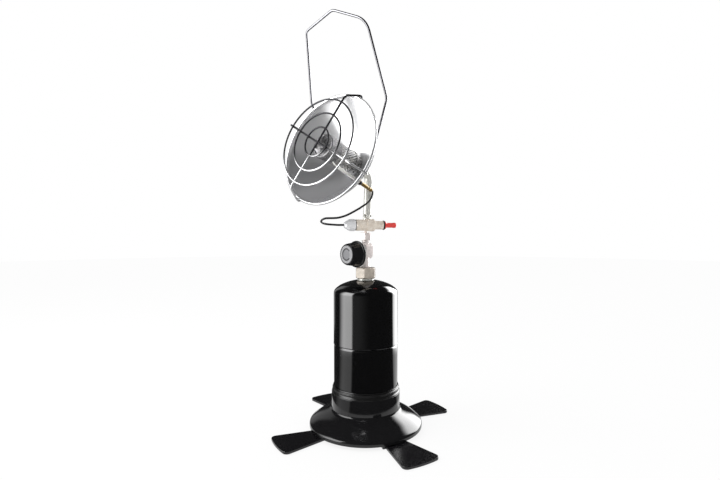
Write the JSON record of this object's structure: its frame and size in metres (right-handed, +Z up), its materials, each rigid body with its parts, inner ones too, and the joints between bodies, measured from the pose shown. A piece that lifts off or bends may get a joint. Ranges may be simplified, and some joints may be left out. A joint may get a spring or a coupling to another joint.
{
  "type": "portable propane heater",
  "caption": "Upright camping heater: dish reflector with wire guard and hanger above a needle valve, on a fuel cylinder in a stand with folding legs.",
  "frame": {"origin": "on the ground under the fuel cylinder's axis", "axes": "+Z up along the fuel cylinder; the dish and the valve knob face -Y; +X is to the right of someone behind the dish looking the way it faces backwards, that is to the right in a front view from -Y"},
  "size_m": [0.2838, 0.2838, 0.5946],
  "materials": {
    "black_plastic": "moulded black polymer, satin",
    "rubber": "soft black rubber",
    "black_enamel": "gloss black enamel on steel",
    "zinc_steel": "bright zinc-plated steel",
    "brass": "plain turned brass",
    "nickel": "pale plated brass, turned",
    "mirror_steel": "polished dish",
    "chrome_wire": "chromed steel wire",
    "burner_steel": "heat-darkened steel",
    "ceramic": "white glazed ceramic",
    "red_plastic": "glossy red plastic",
    "dial_grey": "grey dial plate",
    "lead_jacket": "black silicone jacket"
  },
  "bodies": {
    "stand": {"base_shell": "black_plastic", "grip_ring": "rubber", "leg_pins": "zinc_steel"},
    "leg_right": {"leg_right": "black_plastic", "foot_pad_right": "rubber"},
    "leg_back": {"leg_back": "black_plastic", "foot_pad_back": "rubber"},
    "leg_left": {"leg_left": "black_plastic", "foot_pad_left": "rubber"},
    "leg_front": {"leg_front": "black_plastic", "foot_pad_front": "rubber"},
    "cylinder": {"cylinder_lower": "black_enamel", "cylinder_upper": "black_enamel", "neck_boss": "zinc_steel", "core_body": "brass", "core_pin": "brass", "core_spring": "zinc_steel", "relief_valve": "black_enamel"},
    "seal": {"inlet_seal": "rubber"},
    "head": {"inlet_nut": "nickel", "depressor_pin": "brass", "valve_body": "nickel", "stem_seal": "rubber", "packing_nut": "nickel", "jet_nut": "nickel", "orifice_jet": "brass", "burner_pipe": "zinc_steel", "tube_nut": "nickel", "reflector": "mirror_steel", "bail_bracket": "zinc_steel", "bracket_screws": "zinc_steel", "burner_holder": "burner_steel", "burner_screen": "burner_steel", "burner_cup": "burner_steel", "guard_ring_outer": "chrome_wire", "guard_ring_middle": "chrome_wire", "guard_ring_inner": "chrome_wire", "guard_wire_a": "chrome_wire", "guard_wire_b": "chrome_wire", "electrode_rod": "zinc_steel", "electrode_insulator": "ceramic", "electrode_collar": "black_plastic", "electrode_ferrule": "brass", "igniter_clamp": "nickel", "clamp_screw": "zinc_steel", "igniter_barrel": "nickel", "igniter_washer": "burner_steel", "igniter_nut": "chrome_wire", "igniter_collar": "black_plastic", "button_bezel": "red_plastic", "igniter_spring": "zinc_steel", "piezo_core": "ceramic", "ignition_lead": "lead_jacket"},
    "knob": {"valve_knob": "black_plastic", "knob_dial": "dial_grey", "knob_screw": "zinc_steel", "valve_stem": "zinc_steel"},
    "button": {"igniter_button": "red_plastic"},
    "hanger": {"bail_wire": "chrome_wire"}
  },
  "joints": [
    {"name": "leg_right_fold", "type": "hinge", "parent": "stand", "child": "leg_right", "pos_m": [0.06305, -0.02547, 0.003], "axis": [0, 0, 1], "range_deg": [0, 135]},
    {"name": "leg_back_fold", "type": "hinge", "parent": "stand", "child": "leg_back", "pos_m": [0.02547, 0.06305, 0.003], "axis": [0, 0, 1], "range_deg": [0, 135]},
    {"name": "leg_left_fold", "type": "hinge", "parent": "stand", "child": "leg_left", "pos_m": [-0.06305, 0.02547, 0.003], "axis": [0, 0, 1], "range_deg": [0, 135]},
    {"name": "leg_front_fold", "type": "hinge", "parent": "stand", "child": "leg_front", "pos_m": [-0.02547, -0.06305, 0.003], "axis": [0, 0, 1], "range_deg": [0, 135]},
    {"name": "cylinder_lift", "type": "slide", "parent": "stand", "child": "cylinder", "axis": [0, 0, 1], "range_m": [0, 0.08]},
    {"name": "head_rise", "type": "slide", "parent": "cylinder", "child": "seal", "axis": [0, 0, 1], "range_m": [0, 0.0089]},
    {"name": "head_unscrew", "type": "hinge", "parent": "seal", "child": "head", "pos_m": [0, 0, 0.23903], "axis": [0, 0, 1], "range_deg": [0, 2520]},
    {"name": "knob_turn", "type": "hinge", "parent": "head", "child": "knob", "pos_m": [0, 0, 0.26603], "axis": [-0.1736, -0.9848, 0], "range_deg": [0, 270]},
    {"name": "button_press", "type": "slide", "parent": "head", "child": "button", "axis": [-0.5878, -0.809, 0], "range_m": [0, 0.0055], "stiffness_N_per_m": 900, "springref_m": -0.002},
    {"name": "hanger_swing", "type": "hinge", "parent": "head", "child": "hanger", "pos_m": [0, -0.02053, 0.39754], "axis": [1, 0, 0], "range_deg": [-115, 0]}
  ],
  "couplings": [
    {"joint": "head_rise", "follows": "head_unscrew", "m_per_rad": 0.00020213}
  ]
}
